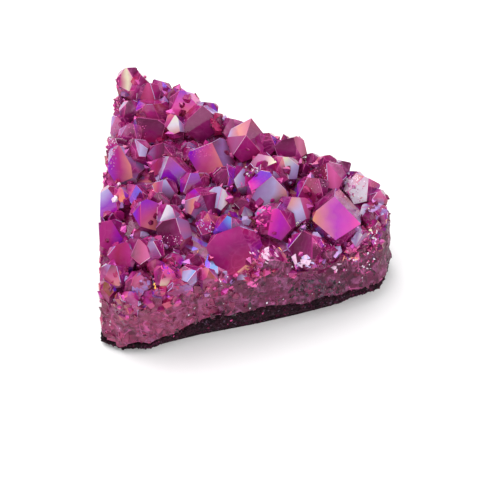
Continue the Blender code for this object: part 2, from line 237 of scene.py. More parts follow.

# Faces painted with light and shade: painted highlights and reflections on the pale ones,
# painted shade on the dark ones. Where each lies in the picture, the direction in which its
# colours run, in degrees from the right towards the top, and the three colours.
PaintedLight = namedtuple("PaintedLight", "u v angle first second third")
PAINTED_LIGHT_FACES = [
    # The back corner and the back edge.
    PaintedLight(127, 82, 0, "rose", "cream", "pink"),
    PaintedLight(147, 90, 0, "crimson", "rose", "crimson"),
    PaintedLight(147, 112, 0, "crimson", "magenta", "deep"),
    PaintedLight(150, 128, 270, "burgundy", "deep", "crimson"),
    PaintedLight(182, 100, 270, "violet", "hot", "orange"),
    PaintedLight(193, 97, 0, "violet", "hot", "magenta"),
    PaintedLight(198, 112, 270, "magenta", "deep", "deep"),
    PaintedLight(200, 122, 270, "deep", "deep", "burgundy"),
    PaintedLight(172, 122, 270, "cream", "white", "peach"),
    PaintedLight(240, 129, 0, "lavender", "peach", "rose"),
    PaintedLight(255, 130, 270, "crimson", "deep", "magenta"),
    PaintedLight(240, 152, 0, "magenta", "magenta", "crimson"),
    PaintedLight(284, 147, 270, "burgundy", "deep", "burgundy"),
    PaintedLight(298, 146, 0, "crimson", "rose", "crimson"),
    # The left side.
    PaintedLight(113, 126, 270, "rose", "mauve", "magenta"),
    PaintedLight(120, 165, 10, "violet", "magenta", "peach"),
    PaintedLight(140, 150, 0, "rose", "lavender", "haze"),
    PaintedLight(156, 152, 0, "haze", "deep", "burgundy"),
    PaintedLight(172, 170, 300, "magenta", "violet", "burgundy"),
    PaintedLight(155, 168, 0, "magenta", "crimson", "deep"),
    PaintedLight(107, 203, 310, "lavender", "violet", "purple"),
    PaintedLight(108, 235, 0, "magenta", "magenta", "violet"),
    PaintedLight(118, 253, 0, "magenta", "crimson", "magenta"),
    PaintedLight(140, 252, 0, "plum", "rose", "pink"),
    PaintedLight(113, 273, 270, "wall", "rose", "peach"),
    PaintedLight(137, 283, 0, "crimson", "rose", "haze"),
    # Left of the middle.
    PaintedLight(205, 158, 340, "violet", "rose", "peach"),
    PaintedLight(190, 181, 270, "violet", "deep", "magenta"),
    PaintedLight(167, 190, 270, "lavender", "haze", "plum"),
    PaintedLight(157, 187, 0, "peach", "rose", "haze"),
    PaintedLight(135, 212, 0, "blue", "violet", "magenta"),
    PaintedLight(148, 214, 300, "violet", "rose", "peach"),
    PaintedLight(167, 212, 0, "white", "white", "lavender"),
    PaintedLight(170, 232, 0, "burgundy", "burgundy", "deep"),
    PaintedLight(183, 225, 270, "haze", "mauve", "haze"),
    PaintedLight(166, 277, 270, "hot", "rose", "cream"),
    PaintedLight(188, 275, 330, "haze", "lavender", "cyan"),
    PaintedLight(210, 266, 315, "lavender", "cyan", "lavender"),
    PaintedLight(195, 238, 0, "violet", "violet", "cyan"),
    PaintedLight(204, 222, 270, "peach", "magenta", "deep"),
    PaintedLight(195, 140, 0, "mauve", "crimson", "mauve"),
    PaintedLight(185, 205, 0, "haze", "peach", "lavender"),
    # The middle.
    PaintedLight(216, 188, 0, "white", "lavender", "lavender"),
    PaintedLight(205, 197, 0, "burgundy", "deep", "burgundy"),
    PaintedLight(262, 158, 0, "deep", "mauve", "cream"),
    PaintedLight(290, 166, 310, "cream", "lavender", "haze"),
    PaintedLight(260, 183, 30, "hot", "violet", "blue"),
    PaintedLight(268, 192, 340, "haze", "lavender", "peach"),
    PaintedLight(224, 225, 30, "violet", "blue", "cyan"),
    PaintedLight(225, 250, 300, "magenta", "deep", "crimson"),
    PaintedLight(212, 178, 0, "lavender", "white", "haze"),
    PaintedLight(218, 207, 0, "lavender", "white", "peach"),
    PaintedLight(222, 160, 0, "plum", "haze", "plum"),
    PaintedLight(232, 142, 0, "rose", "mauve", "rose"),
    PaintedLight(238, 178, 0, "white", "lavender", "haze"),
    PaintedLight(247, 186, 30, "hot", "magenta", "violet"),
    PaintedLight(292, 190, 270, "peach", "mauve", "plum"),
    PaintedLight(278, 222, 340, "hot", "purple", "magenta"),
    PaintedLight(297, 208, 315, "peach", "lavender", "haze"),
    # The right side.
    PaintedLight(318, 172, 0, "crimson", "burgundy", "crimson"),
    PaintedLight(335, 175, 0, "rose", "pink", "rose"),
    PaintedLight(312, 186, 0, "magenta", "crimson", "magenta"),
    PaintedLight(306, 200, 0, "mauve", "rose", "mauve"),
    PaintedLight(335, 218, 0, "orange", "purple", "hot"),
    PaintedLight(303, 248, 0, "burgundy", "burgundy", "deep"),
    PaintedLight(316, 247, 270, "pink", "plum", "burgundy"),
    PaintedLight(355, 236, 0, "lavender", "haze", "white"),
    PaintedLight(350, 186, 0, "mauve", "white", "white"),
    PaintedLight(357, 178, 0, "blush", "blush", "peach"),
    PaintedLight(362, 193, 270, "blush", "white", "white"),
    PaintedLight(381, 195, 270, "pink", "rose", "lavender"),
]

# Rough places, by where they lie in the picture: their middle, how far they reach, and how
# many chips of which size in mm and which colours they have. The white, blush and lavender
# chips are painted highlights and reflections; the rest are broken and granular quartz. A
# chip's radius is this share of the size, and it is sunk by this share of its height.
Patch = namedtuple("Patch", "u v wide high count size tints")
PATCH_RADIUS = (0.5, 1.0)
PATCH_SUNK = 0.25
PATCHES = [
    Patch(264, 256, 15, 7, 36, 1.0, ("blush", "mauve", "blush", "rose", "pink", "peach")),
    Patch(255, 275, 10, 12, 32, 1.1, ("pink", "rose", "crimson", "wall", "pink")),
    Patch(303, 262, 11, 4, 14, 1.5, ("lavender", "blush", "lavender", "haze")),
    Patch(289, 260, 2, 5, 10, 0.9, ("rock_dark", "plum_dark")),
    Patch(351, 256, 8, 6, 14, 1.0, ("white", "peach", "rose", "plum")),
    Patch(338, 268, 7, 5, 10, 0.9, ("blush", "pink", "plum")),
    Patch(349, 187, 7, 13, 20, 0.8, ("blush", "mauve", "white", "magenta", "blush")),
    Patch(365, 250, 18, 24, 110, 0.6, ("white", "rose", "plum", "pink", "haze", "plum_dark")),
    Patch(318, 288, 26, 9, 110, 0.8, ("rock", "rock_grey", "rock_dark", "rock_grey", "rock")),
    Patch(369, 222, 7, 14, 22, 1.0, ("plum_brown", "cream", "plum_brown", "plum")),
    Patch(378, 212, 6, 10, 14, 1.2, ("lavender", "blush", "haze", "wall")),
    Patch(262, 216, 11, 12, 36, 0.9, ("hot", "pink", "magenta", "hot", "rose")),
    Patch(145, 284, 42, 16, 60, 1.1, ("wall", "haze", "plum_brown", "crimson", "wall_light")),
    Patch(108, 320, 3, 16, 18, 0.3, ("white", "pink")),
    Patch(170, 268, 9, 6, 28, 0.6, ("hot", "pink", "violet", "hot")),
    Patch(250, 172, 9, 5, 22, 0.9, ("rock_grey", "white", "burgundy", "haze")),
    Patch(226, 282, 12, 5, 18, 0.8, ("white", "rose", "plum_dark", "haze")),
    Patch(117, 92, 4, 18, 26, 0.9, ("pink", "magenta", "rose", "haze")),
    Patch(219, 124, 4, 9, 18, 2.2, ("deep", "burgundy", "crimson", "magenta")),
    # Fine glitter; its pale grains are painted glints.
    Patch(190, 150, 24, 9, 160, 0.28, ("mauve", "magenta", "pink", "crimson")),
    Patch(245, 190, 10, 9, 70, 0.28, ("pink", "mauve", "hot")),
    Patch(170, 242, 12, 8, 60, 0.25, ("pink", "blush", "mauve")),
    Patch(318, 178, 12, 12, 60, 0.25, ("rose", "pink", "blush")),
    Patch(305, 225, 10, 6, 50, 0.3, ("cream", "blush", "plum_dark")),
    Patch(130, 130, 18, 14, 90, 0.28, ("mauve", "rose", "pink", "crimson")),
    Patch(112, 150, 4, 22, 70, 0.35, ("blush", "mauve", "haze", "lavender")),
    Patch(325, 245, 12, 6, 60, 0.4, ("blush", "pink", "plum")),
    Patch(357, 190, 10, 14, 90, 0.35, ("white", "blush", "mauve", "peach")),
    Patch(206, 228, 9, 14, 40, 0.35, ("lavender", "peach", "mauve", "violet")),
]

# The level between the crystals, close to that of the solids: highest on the line at
# GROUND_CREST_Y, and lower by the two falls at half the width and at half the depth of the
# piece. The walls begin a little below it.
GROUND_TOP = 18.4 * MM
GROUND_CREST_Y = -7 * MM
HALF_WIDTH = 30 * MM
HALF_DEPTH = 28 * MM
GROUND_FALL_X = 4 * MM
GROUND_FALL_Y = 1.7 * MM
WALL_BELOW_GROUND = 0.6 * MM

# Quartz: its index of refraction and the light that its inside takes away.
QUARTZ_IOR = 1.54
ABSORPTION_COLOUR = (0.9, 0.12, 0.5, 1)
ABSORPTION_DENSITY = 120
# The film on it: its index of refraction; its thickness in nm on the crystal faces, orange at
# its thinnest, then magenta, violet and blue; the share of the faces that have it; how its
# thickness drifts over a face; the waves a mm, the detail and the range of the noise behind
# that; and its thickness on the small crystals.
FILM_IOR = 2.2
FILM = (98, 145)
FILM_SHARE = 0.2
FILM_DRIFT = (0.9, 1.1)
FILM_NOISE = (0.12, 1)
FILM_NOISE_RANGE = (0.3, 0.7)
SMALL_FILM = 120
# The roughness of an ordinary crystal face, of one with painted light and shade, and of a wall.
FACE_ROUGHNESS = 0.05
PAINTED_LIGHT_ROUGHNESS = 0.03
WALL_ROUGHNESS = 0.5
# How cloudy a face is: an ordinary one, and one with painted light and shade.
CLOUDY = 1
CLEAR = 0.2
# How far the colours of a facet wander from straight bands, and in how many waves a mm.
WANDER = 0.5
WANDER_WAVES = 0.25
# Lines of growth: how many cross a facet, and the height of the wave at which they begin.
GROWTH_LINES = 9
GROWTH_LINE_FROM = 0.3
# Cracks: cells a mm, half width in cells, and how much they bend.
CRACK_CELLS = 0.2
CRACK_WIDTH = 0.025
CRACK_BEND = 0.6

# A layer over a colour: waves a mm, detail, the range of the noise over which the layer grows
# from nothing to its full share, and its tint, if it has one.
Layer = namedtuple("Layer", "scale detail low high share tint")
DARK_CLOUD = Layer(0.3, 4, 0.45, 0.65, 0.6, "burgundy")
PALE_VEIL = Layer(0.7, 6, 0.5, 0.7, 0.6, "mauve")
GROWTH_SHOWN = Layer(0.3, 3, 0.5, 0.62, 0.35, "pink")
CRACKS_SHOWN = Layer(0.2, 2, 0.46, 0.54, 0.75, "pink")
SCUFFS = Layer(1.5, 3, 0.4, 0.7, 0.12, None)
GRAIN_VEIL = Layer(1.6, 4, 0.5, 0.7, 0.3, "rose")
ROCK_SPECKS = Layer(1.1, 6, 0.52, 0.62, 1, "rock")
LIGHT_SPECKS = Layer(2.2, 3, 0.62, 0.7, 1, "rock_grey")

# Fine relief of a surface: waves a mm, detail, strength, and depth in mm.
Relief = namedtuple("Relief", "scale detail strength depth")
QUARTZ_RELIEF = Relief(1.2, 4, 0.12, 0.05)
ROCK_RELIEF = Relief(1.6, 6, 0.6, 0.2)
GRIT_RELIEF = Relief(2.5, 4, 0.4, 0.1)

# The floor and the light, in metres. A softbox looks at the piece from its place, and its
# glow is its radiance.
FLOOR_REACH = 3
FLOOR_COLOUR = (0.86, 0.86, 0.86, 1)
FLOOR_ROUGHNESS = 0.9
SKY_COLOUR = (1, 0.98, 1, 1)
SKY_GLOW = 0.6
Softbox = namedtuple("Softbox", "name place size glow")
SOFTBOXES = [
    Softbox("key", (-0.5, 0.5, 1.0), (1.3, 1.3), 3.8),
    Softbox("fill", (1.0, -0.3, 0.8), (0.9, 0.9), 2.7),
    Softbox("front", (-0.4, -1.1, 0.5), (1.1, 0.8), 2.1),
]


def linear(name):
    """A palette colour as linear light."""
    shares = [c / 255 for c in PALETTE[name]]
    return [c / 12.92 if c <= 0.04045 else ((c + 0.055) / 1.055) ** 2.4 for c in shares]


def make_camera():
    """The camera, where the picture was taken from."""
    data = bpy.data.cameras.new("camera")
    data.lens = LENS
    data.sensor_width = SENSOR
    camera = bpy.data.objects.new("camera", data)
    camera.location = VIEW_AIM + AWAY * VIEW_DISTANCE
    camera.rotation_euler = (math.pi / 2 - VIEW_ELEVATION, 0, 0)
    bpy.context.scene.collection.objects.link(camera)
    bpy.context.scene.camera = camera


def ray_through(u, v):
    """Origin and direction of the line of sight through a place in the picture."""
    scale = SENSOR / LENS / PICTURE
    ray = RIGHT * (u - PICTURE / 2) * scale - UP * (v - PICTURE / 2) * scale - AWAY
    return VIEW_AIM + AWAY * VIEW_DISTANCE, ray.normalized()


def add(name, mesh, node):
    """A piece made from a mesh, which rides on the part and stands for a CAD node."""
    piece = bpy.data.objects.new(name, mesh)
    bpy.context.scene.collection.objects.link(piece)
    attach(piece, "root")
    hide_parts(node)
    return piece


def mesh_from(bm, name):
    """A mesh from a bmesh, which is freed."""
    mesh = bpy.data.meshes.new(name)
    bm.to_mesh(mesh)
    bm.free()
    return mesh


def facets_of(node):
    """A CAD node's surface with one face for each flat facet."""
    bm = bmesh.new()
    bm.from_mesh(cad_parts[node].data)
    bmesh.ops.remove_doubles(bm, verts=bm.verts, dist=WELD)
    bmesh.ops.dissolve_limit(bm, angle_limit=FACET_ANGLE, verts=bm.verts, edges=bm.edges)
    bm.normal_update()
    for face in bm.faces:
        face.smooth = False
    return bm


def ground(x, y):
    """Level between the crystals at a place."""
    across = (x / HALF_WIDTH) ** 2
    along = ((y - GROUND_CREST_Y) / HALF_DEPTH) ** 2
    return GROUND_TOP - GROUND_FALL_X * across - GROUND_FALL_Y * along


def is_wall(tree, place, normal):
    """Whether a place on the crust is on one of its broken outer walls."""
    below = ground(place.x, place.y) - place.z
    steepness = DEEP_STEEPNESS if below > DEEP else WALL_STEEPNESS
    if abs(normal.z) > steepness or below < WALL_BELOW_GROUND:
        return False
    outward = Vector((normal.x, normal.y, 0)).normalized()
    return tree.ray_cast(place + normal * RAY_START, outward)[0] is None


def paint(face, layers, colours, run, film, rough, cloud=CLOUDY):
    """Give a facet its three colours, the way that they run across it, and its finish."""
    for layer, colour in zip(layers["tints"], colours):
        face[layer] = (*linear(colour), 1)
    along = [v.co.dot(run) for v in face.verts]
    span = max(max(along) - min(along), WELD)
    face[layers["run"]] = run / span
    face[layers["start"]] = min(along) / span
    face[layers["film"]] = film
    face[layers["rough"]] = rough
    face[layers["cloud"]] = cloud


def paint_facets(bm, tree):
    """Colour each facet from the families; the listed ones get painted light and shade."""
    rng = np.random.default_rng(SEED)
    kinds = bm.faces.layers
    layers = {"tints": [kinds.float_color.new(n) for n in ("tint_a", "tint_b", "tint_c")],
              "run": kinds.float_vector.new("run")}
    for name in ("start", "film", "rough", "cloud"):
        layers[name] = kinds.float.new(name)
    count = len(bm.faces)
    draws = rng.random(count)
    turns = rng.uniform(0, math.tau, count)
    films = rng.uniform(*FILM, count) * (rng.random(count) < FILM_SHARE)
    for i, face in enumerate(bm.faces):
        tangent = face.normal.orthogonal().normalized()
        run = tangent * math.cos(turns[i]) + face.normal.cross(tangent) * math.sin(turns[i])
        middle = face.calc_center_median()
        if is_wall(tree, middle, face.normal):
            family = drawn(DARK_WALL if is_dark(middle, turns[i]) else PINK_WALL, draws[i])
            paint(face, layers, family, run, 0, WALL_ROUGHNESS)
        else:
            paint(face, layers, drawn(FAMILIES, draws[i]), run, films[i], FACE_ROUGHNESS)
    bm.faces.ensure_lookup_table()
    # Painted highlights, reflections and shade: the listed faces get the colours they show lit.
    for painted_face in PAINTED_LIGHT_FACES:
        index = tree.ray_cast(*ray_through(painted_face.u, painted_face.v))[2]
        if index is not None:
            face = bm.faces[index]
            turn = math.radians(painted_face.angle)
            run = RIGHT * math.cos(turn) + UP * math.sin(turn)
            run = (run - face.normal * run.dot(face.normal)).normalized()
            colours = (painted_face.first, painted_face.second, painted_face.third)
            paint(face, layers, colours, run, 0, PAINTED_LIGHT_ROUGHNESS, CLEAR)
    return layers


def drawn(table, luck):
    """The entry of a table of (weight, entry) that a number from 0 to 1 falls on."""
    for weight, entry in table:
        luck -= weight / sum(w for w, _ in table)
        if luck <= 0:
            return entry
    return table[-1][1]


def is_dark(place, turn):
    """Whether a place on the front wall is in its dark part, with a ragged limit."""
    limit = DARK_WALL_FROM_X + DARK_WALL_BLEND * (turn / math.tau - 0.5)
    return place.x > limit and place.y < 0


def surface_points(mesh, count, rng):
    """Points spread evenly over a mesh, and the direction that the surface has at each."""
    mesh.calc_loop_triangles()
    total = len(mesh.loop_triangles)
    index = np.empty(total * 3, int)
    mesh.loop_triangles.foreach_get("vertices", index)
    spots = np.empty(len(mesh.vertices) * 3)
    mesh.vertices.foreach_get("co", spots)
    corners = spots.reshape(-1, 3)[index.reshape(-1, 3)]
    cross = np.cross(corners[:, 1] - corners[:, 0], corners[:, 2] - corners[:, 0])
    area = np.linalg.norm(cross, axis=1)
    pick = rng.choice(total, count, p=area / area.sum())
    a, b = np.sqrt(rng.random((count, 1))), rng.random((count, 1))
    corner = corners[pick]
    points = (1 - a) * corner[:, 0] + a * (1 - b) * corner[:, 1] + a * b * corner[:, 2]
    return points, cross[pick] / area[pick][:, None]


def shelter(tree, place, normal):
    """How much of the view round a place its neighbours block, from 0 to 1."""
    start = place + normal * SHELTER_START
    hits = 0
    for k in range(SHELTER_RAYS):
        turn = k * math.tau / SHELTER_RAYS
        ray = Vector((math.cos(turn), math.sin(turn), SHELTER_RISE)).normalized()
        hits += tree.ray_cast(start, ray, SHELTER_REACH)[0] is not None
    return hits / SHELTER_RAYS


def turned(axes, spins):
    """A rotation for each axis that takes +Z to it, after a spin about +Z."""
    axes = axes / np.linalg.norm(axes, axis=1, keepdims=True)
    helper = np.where(np.abs(axes[:, 2:]) < UPRIGHT, [[0.0, 0.0, 1.0]], [[1.0, 0.0, 0.0]])
    side = np.cross(helper, axes)
    side /= np.linalg.norm(side, axis=1, keepdims=True)
    other = np.cross(axes, side)
    c, s = np.cos(spins)[:, None], np.sin(spins)[:, None]
    return np.stack([side * c + other * s, other * c - side * s, axes], axis=2)


def pointed(rng):
    """A small crystal: a six-sided stem with an uneven six-faced point."""
    turn = np.arange(SIDES) * math.tau / SIDES
    ring = np.stack([np.cos(turn), np.sin(turn)], 1)
    uneven = rng.uniform(*UNEVEN_SIDES, (SIDES, 1))
    low = np.hstack([ring * uneven * FOOT_SHARE, np.full((SIDES, 1), -1.0)])
    high = np.hstack([ring * uneven, rng.uniform(*SHOULDERS, (SIDES, 1))])
    drift = [rng.uniform(-TIP_DRIFT, TIP_DRIFT) for _ in range(2)]
    tip = np.array([[*drift, 1.0]])
    faces = [tuple(reversed(range(SIDES)))]
    for k in range(SIDES):
        j = (k + 1) % SIDES
        above, beside = SIDES + k, SIDES + j
        faces += [(k, j, beside), (k, beside, above), (above, beside, 2 * SIDES)]
    return np.vstack([low, high, tip]), faces


def chip(rng):
    """A broken chip: the hull of a few points, wider than it is high."""
    bm = bmesh.new()
    for p in rng.normal(size=(CHIP_CORNERS, 3)):
        bm.verts.new(Vector(p).normalized() * rng.uniform(*CHIP_REACH))
    hull = bmesh.ops.convex_hull(bm, input=bm.verts)
    unused = [v for v in hull["geom_interior"] if isinstance(v, bmesh.types.BMVert)]
    bmesh.ops.delete(bm, geom=unused, context="VERTS")
    bm.verts.index_update()
    spots = np.array([v.co for v in bm.verts]) * (1, 1, CHIP_FLATNESS)
    faces = [tuple(v.index for v in f.verts) for f in bm.faces]
    bm.free()
    return spots, faces


def zoned(tints, sparkles, place, rng):
    """The name of a colour for a small body: that of its zone, or now and then another."""
    luck = rng.random()
    for name, share in sparkles.items():
        luck -= share
        if luck < 0:
            return name
    if rng.random() < STRAY_SHARE:
        return tints[rng.integers(len(tints))]
    wave = noise.noise(Vector(place) / ZONE_LENGTH) + rng.normal(0, ZONE_SWAY)
    step = int(len(tints) * max(0.5 + wave * ZONE_SPREAD, 0))
    return tints[min(step, len(tints) - 1)]


def tinted_mesh(name, spots, faces, colours):
    """A mesh that stays inside the CAD box, with a colour for each of its faces."""
    low, high = (np.array(corner) for corner in cad_box)
    mesh = bpy.data.meshes.new(name)
    mesh.from_pydata(np.clip(spots, low, high).tolist(), [], faces)
    mesh.attributes.new("tint", "FLOAT_COLOR", "FACE")
    mesh.attributes["tint"].data.foreach_set("color", np.array(colours).ravel())
    return mesh


def scatter(name, shapes, places, axes, sizes, tints, rng):
    """One mesh of many small bodies, each with a tint; sizes are (radius, height)."""
    spots, faces, colours, base = [], [], [], 0
    turns = turned(np.array(axes), rng.uniform(0, math.tau, len(places)))
    light = {tint: (*linear(tint), 1) for tint in PALETTE}
    for i, place in enumerate(places):
        shape, shape_faces = shapes[rng.integers(len(shapes))]
        spots.append(shape * (sizes[i][0], sizes[i][0], sizes[i][1]) @ turns[i].T + place)
        faces += [tuple(k + base for k in f) for f in shape_faces]
        colours += [light[tints[i]]] * len(shape_faces)
        base += len(shape)
    return tinted_mesh(name, np.vstack(spots), faces, colours)


def small_crystals(crust, tree):
    """Small crystals that fill the valleys between the large ones, and the rim of the walls."""
    rng = np.random.default_rng(SEED + 1)
    shapes = [pointed(rng) for _ in range(SHAPES)]
    points, normals = surface_points(crust.data, SMALL_TRIES, rng)
    places, axes, sizes, tints = [], [], [], []
    for p, n, luck in zip(points, normals, rng.random(SMALL_TRIES)):
        place, normal = Vector(p), Vector(n)
        below = ground(place.x, place.y) - place.z
        if normal.z < SMALL_LEAST_Z or below > RIM_DEPTH:
            continue
        cover = shelter(tree, place, normal)
        if is_wall(tree, place, normal):
            cover = 0
            chance = RIM_CHANCE * (1 - below / RIM_DEPTH)
        else:
            chance = VALLEY_CHANCE * max(0, cover - LEAST_COVER)
        if chance > luck:
            radius = rng.uniform(*SMALL_RADIUS) * MM
            places.append(p - n * radius * SMALL_SUNK)
            axes.append(n + np.array([0, 0, SMALL_UPWARD]) + rng.normal(0, SWAY, 3))
            sizes.append((radius, radius * rng.uniform(*SMALL_HEIGHT)))
            # Painted glints, only where much of the view is blocked.
            sparkles = GRAIN_PAINTED_GLINTS if cover > GLINT_COVER else {}
            tints.append(zoned(GRAIN_TINTS, sparkles, p, rng))
    return scatter("small_crystals", shapes, places, axes, sizes, tints, rng)


def wall_chips(crust, tree, rock_tree):
    """Chips and granular quartz all over the broken walls."""
    rng = np.random.default_rng(SEED + 2)
    shapes = [chip(rng) for _ in range(SHAPES)]
    points, normals = surface_points(crust.data, CHIP_TRIES, rng)
    places, axes, sizes, tints = [], [], [], []
    for p, n in zip(points, normals):
        if is_wall(tree, Vector(p), Vector(n)):
            dark = is_dark(Vector(p), rng.uniform(0, math.tau))
            small, large = DARK_CHIP if dark else PINK_CHIP
            radius = small * (large / small) ** (rng.random() ** CHIP_SKEW) * MM
            places.append(p - n * radius * CHIP_SUNK)
            axes.append(n + rng.normal(0, CHIP_SWAY, 3))
            sizes.append((radius, radius * rng.uniform(*CHIP_HEIGHT)))
            # Painted glints, on the smallest chips only.
            sparkles = CHIP_PAINTED_GLINTS if radius < SPARKLE_RADIUS else {}
            choice = DARK_CHIP_TINTS if dark else CHIP_TINTS
            seam = DARK_SEAM if dark else PINK_SEAM
            if rock_tree.find_nearest(p)[3] < seam * rng.random():
                choice = SEAM_TINTS
            tints.append(zoned(choice, sparkles, p, rng))
    return scatter("wall_chips", shapes, places, axes, sizes, tints, rng)


def tree_over(meshes):
    """A search tree over the faces of several meshes."""
    spots, faces = [], []
    for mesh in meshes:
        base = len(spots)
        spots += [v.co for v in mesh.vertices]
        faces += [[base + k for k in f.vertices] for f in mesh.polygons]
    return BVHTree.FromPolygons(spots, faces)


def rough_patches(carriers):
    """Patches where crystals broke off or a druse grew on them; pale chips are painted highlights.
    """
    rng = np.random.default_rng(SEED + 4)
    tree = tree_over(carriers)
    shapes = [chip(rng) for _ in range(SHAPES)]
    places, axes, sizes, tints = [], [], [], []
    for patch in PATCHES:
        for _ in range(patch.count):
            turn, out = rng.uniform(0, math.tau), math.sqrt(rng.random())
            u = patch.u + patch.wide * out * math.cos(turn)
            v = patch.v + patch.high * out * math.sin(turn)
            spot, normal, _, _ = tree.ray_cast(*ray_through(u, v))
            if spot is None:
                continue
            radius = rng.uniform(*PATCH_RADIUS) * patch.size * MM
            height = radius * rng.uniform(*CHIP_HEIGHT)
            places.append(np.array(spot - normal * height * PATCH_SUNK))
            axes.append(np.array(normal) + rng.normal(0, SWAY, 3))
            sizes.append((radius, height))
            tints.append(zoned(patch.tints, {}, places[-1], rng))
    return scatter("rough_patches", shapes, places, axes, sizes, tints, rng)


def rock_grains(rock):
    """Grit on the broken side of the rock and along its seam."""
    rng = np.random.default_rng(SEED + 3)
    shapes = [chip(rng) for _ in range(SHAPES)]
    points, normals = surface_points(rock.data, GRIT_TRIES, rng)
    side = (np.abs(normals[:, 2]) < GRIT_STEEPNESS) & (points[:, 2] > GRIT_FROM_Z)
    points, normals = points[side], normals[side]
    radii = rng.uniform(*GRIT_RADIUS, len(points)) * MM
    places = points - normals * radii[:, None] * CHIP_SUNK
    axes = normals + rng.normal(0, SWAY, normals.shape)
    tints = [zoned(ROCK_TINTS, ROCK_SPARKLES, p, rng) for p in places]
    return scatter("rock_grains", shapes, places, axes, np.stack([radii, radii], 1), tints, rng)


def can_carry_highlight(edge, layers):
    """Whether an edge of the crust is a clear ridge between two faces of crystals."""
    beside = edge.link_faces
    if len(beside) != 2 or not edge.is_convex:
        return False
    if edge.calc_length() < RIDGE_LENGTH or edge.calc_face_angle() < RIDGE_ANGLE:
        return False
    if min(f.calc_area() for f in beside) < RIDGE_FACE:
        return False
    if max(f[layers["rough"]] for f in beside) >= WALL_ROUGHNESS:
        return False
    return min(f.normal.z for f in beside) >= RIDGE_LEAST_Z


def ridge_highlights(crust, layers):
    """Painted ridge highlights: a thin light-coloured sliver along many ridges of the crystals."""
    rng = np.random.default_rng(SEED + 5)
    spots, faces, colours = [], [], []
    for edge in crust.edges:
        if not can_carry_highlight(edge, layers) or rng.random() > RIDGE_SHARE:
            continue
        tint = RIDGE_HIGHLIGHT_TINTS[rng.integers(len(RIDGE_HIGHLIGHT_TINTS))]
        colours += [(*linear(tint), 1)] * 6
        one, two = edge.link_faces
        out = (one.normal + two.normal).normalized()
        along = (edge.verts[1].co - edge.verts[0].co).normalized()
        feet = []
        for face in (one, two):
            foot = face.normal.cross(along)
            toward = face.calc_center_median() - edge.verts[0].co
            feet.append(foot if foot.dot(toward) > 0 else -foot)
        base = len(spots)
        for vert, inset in ((edge.verts[0], 1), (edge.verts[1], -1)):
            at = vert.co + along * inset * RIDGE_WIDTH
            spots += [at + out * RIDGE_WIDTH * RIDGE_LIFT, at + feet[0] * RIDGE_WIDTH,
                      at - out * RIDGE_WIDTH * RIDGE_DEPTH, at + feet[1] * RIDGE_WIDTH]
        for k in range(4):
            j = (k + 1) % 4
            faces.append((base + k, base + j, base + 4 + j, base + 4 + k))
        faces += [(base + 3, base + 2, base + 1, base), (base + 4, base + 5, base + 6, base + 7)]
    mesh = tinted_mesh("ridge_highlights", np.array(spots), faces, colours)
    slivers = bmesh.new()
    slivers.from_mesh(mesh)
    bmesh.ops.recalc_face_normals(slivers, faces=slivers.faces)
    slivers.to_mesh(mesh)
    slivers.free()
    return mesh


def attribute(tree, name, output):
    """A socket that reads an attribute of the mesh."""
    node = tree.nodes.new("ShaderNodeAttribute")
    node.attribute_name = name
    node.attribute_type = "GEOMETRY"
    return node.outputs[output]


def put(tree, socket, value):
    """Set a socket to a value, or link it to another socket."""
    if isinstance(value, bpy.types.NodeSocket):
        tree.links.new(value, socket)
    else:
        socket.default_value = value


def math_node(tree, operation, *values):
    """A Math node whose inputs are sockets or numbers."""
    node = tree.nodes.new("ShaderNodeMath")
    node.operation = operation
    for socket, value in zip(node.inputs, values):
        put(tree, socket, value)
    return node.outputs[0]


def mix_colour(tree, share, a, b):
    """A colour mix; share, a and b are sockets or values."""
    node = tree.nodes.new("ShaderNodeMix")
    node.data_type = "RGBA"
    for socket, value in ((node.inputs[0], share), (node.inputs[6], a), (node.inputs[7], b)):
        put(tree, socket, value)
    return node.outputs[2]


def noise_socket(tree, scale, detail=2.0):
    """A noise over the object's own coordinates; scale is in waves a millimetre."""
    place = tree.nodes.new("ShaderNodeTexCoord")
    node = tree.nodes.new("ShaderNodeTexNoise")
    node.inputs["Scale"].default_value = scale / MM
    node.inputs["Detail"].default_value = detail
    tree.links.new(place.outputs["Object"], node.inputs["Vector"])
    return node.outputs["Fac"]


def ranged(tree, value, low, high, to_low, to_high):
    """A Map Range node, clamped."""
    node = tree.nodes.new("ShaderNodeMapRange")
    for name, number in (("Value", value), ("From Min", low), ("From Max", high),
                         ("To Min", to_low), ("To Max", to_high)):
        put(tree, node.inputs[name], number)
    return node.outputs["Result"]


def layer_share(tree, layer):
    """How much of a layer shows at each place, from 0 to its full share."""
    waves = noise_socket(tree, layer.scale, layer.detail)
    return ranged(tree, waves, layer.low, layer.high, 0, layer.share)


def add_relief(tree, shader, relief):
    """Fine relief on a shader."""
    bump = tree.nodes.new("ShaderNodeBump")
    bump.inputs["Strength"].default_value = relief.strength
    bump.inputs["Distance"].default_value = relief.depth * MM
    height = noise_socket(tree, relief.scale, relief.detail)
    tree.links.new(height, bump.inputs["Height"])
    tree.links.new(bump.outputs["Normal"], shader.inputs["Normal"])


def new_material(name):
    """A Principled material, its tree and its shader."""
    made = bpy.data.materials.new(name)
    made.use_nodes = True
    return made, made.node_tree, made.node_tree.nodes["Principled BSDF"]


def facet_share(tree):
    """How far along a facet's run of colours a place is, from 0 to 1."""
    place = tree.nodes.new("ShaderNodeTexCoord").outputs["Object"]
    dot = tree.nodes.new("ShaderNodeVectorMath")
    dot.operation = "DOT_PRODUCT"
    tree.links.new(place, dot.inputs[0])
    tree.links.new(attribute(tree, "run", "Vector"), dot.inputs[1])
    share = math_node(tree, "SUBTRACT", dot.outputs["Value"], attribute(tree, "start", "Fac"))
    waves = noise_socket(tree, WANDER_WAVES)
    wander = math_node(tree, "MULTIPLY_ADD", waves, WANDER, -WANDER / 2)
    return math_node(tree, "ADD", share, wander)


